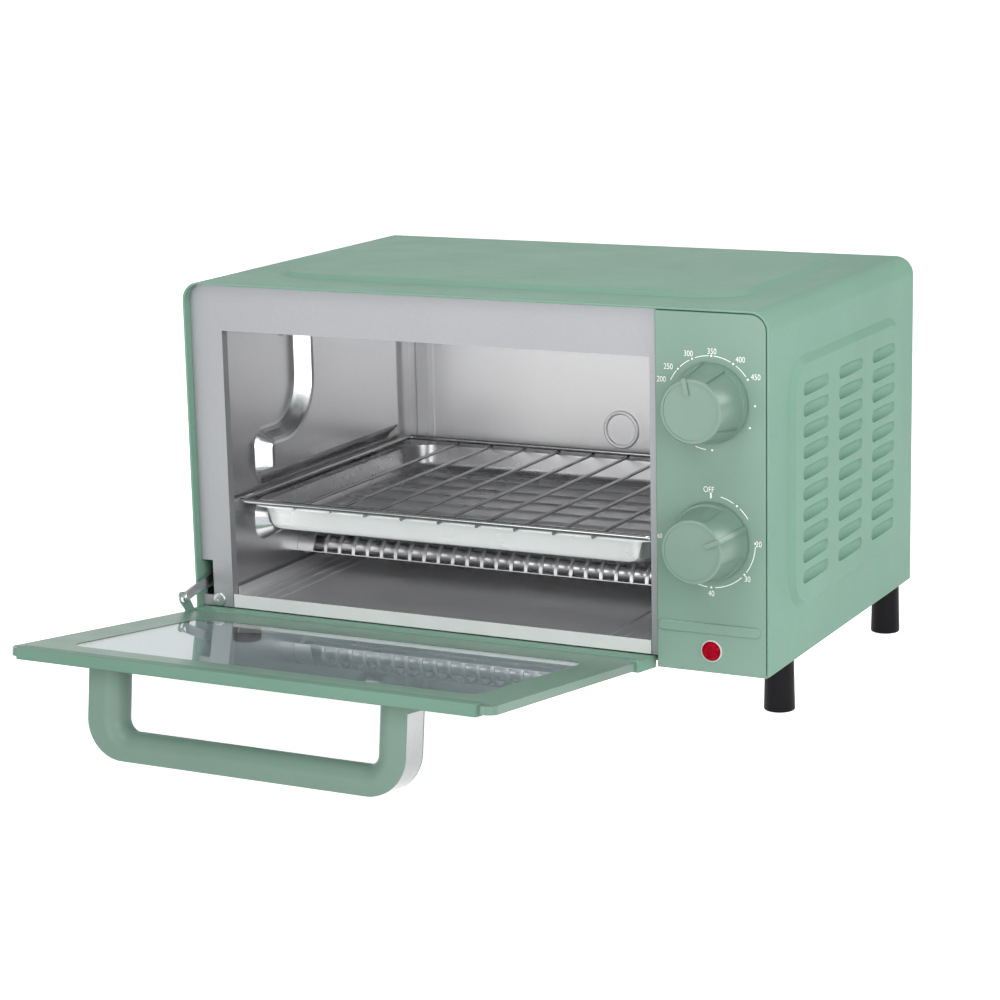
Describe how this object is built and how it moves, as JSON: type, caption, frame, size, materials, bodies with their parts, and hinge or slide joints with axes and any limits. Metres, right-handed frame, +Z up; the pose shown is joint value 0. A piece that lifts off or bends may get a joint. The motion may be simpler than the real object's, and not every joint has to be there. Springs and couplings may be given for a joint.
{
  "type": "toaster oven",
  "caption": "Countertop toaster oven in pale green, with a drop-down glass door on a side link, louvred sides, turning knobs, wire rack and pan.",
  "frame": {"origin": "middle of the whole object's outline with the door open, on the plane under the four feet", "axes": "+X to the control panel's side, +Y from the door to the back cover, +Z up"},
  "size_m": [0.3398, 0.3948, 0.211],
  "materials": {
    "green_paint": "satin",
    "green_plastic": "satin",
    "green_enamel": "gloss",
    "grey_sheet": "satin",
    "bright_sheet": "satin",
    "bright_trim": "gloss",
    "steel_wire": "gloss",
    "zinc": "satin",
    "clear_glass": "gloss",
    "black_plastic": "matte",
    "white_ceramic": "matte",
    "red_lens": "gloss",
    "pale_ring": "gloss"
  },
  "bodies": {
    "oven": {"outer_wrap": "green_paint", "base_plate": "zinc", "back_cover": "green_paint", "back_screws": "zinc", "cord_gland": "black_plastic", "feet": "black_plastic", "foot_screws": "zinc", "front_plate": "grey_sheet", "plate_stud": "zinc", "cavity_left_wall": "bright_sheet", "cavity_right_wall": "bright_sheet", "cavity_ceiling": "bright_sheet", "cavity_back": "bright_sheet", "upper_heaters": "zinc", "lower_heaters": "zinc", "heater_bushes": "white_ceramic", "heater_guards": "bright_sheet", "wire_rack": "steel_wire", "bake_pan": "bright_sheet", "crumb_tray": "bright_sheet", "control_panel": "green_plastic", "lamp_ring": "pale_ring", "lamp_lens": "red_lens", "lamp_socket": "black_plastic", "thermostat_body": "zinc", "timer_body": "zinc", "hinge_lugs": "zinc"},
    "door": {"door_hinge_rail": "green_paint", "hinge_pins": "zinc", "door_glass": "clear_glass", "glass_border": "green_enamel", "door_top_rail": "green_paint", "handle_body": "green_plastic", "handle_trim": "bright_trim", "link_bracket": "green_paint", "link_rivet": "zinc"},
    "link": {"link_arm": "zinc"},
    "temperature_dial": {"thermostat_knob": "green_plastic", "thermostat_shaft": "zinc"},
    "timer_dial": {"timer_knob": "green_plastic", "timer_shaft": "zinc"}
  },
  "joints": [
    {"name": "door_hinge", "type": "hinge", "parent": "oven", "child": "door", "pos_m": [0, -0.0206, 0.0275], "axis": [-1, 0, 0], "range_deg": [0, 82.6]},
    {"name": "link_pivot", "type": "hinge", "parent": "door", "child": "link", "pos_m": [-0.16245, -0.03968, 0.04047], "axis": [-1, 0, 0], "range_deg": [-78, 0]},
    {"name": "temperature_turn", "type": "hinge", "parent": "oven", "child": "temperature_dial", "pos_m": [0.1369, -0.0233, 0.1628], "axis": [0, 1, 0], "range_deg": [-168, 102]},
    {"name": "timer_turn", "type": "hinge", "parent": "oven", "child": "timer_dial", "pos_m": [0.1369, -0.0233, 0.0935], "axis": [0, 1, 0], "range_deg": [-66, 204]}
  ],
  "couplings": [
    {"joint": "link_pivot", "follows": "door_hinge", "ratio": -0.94}
  ]
}
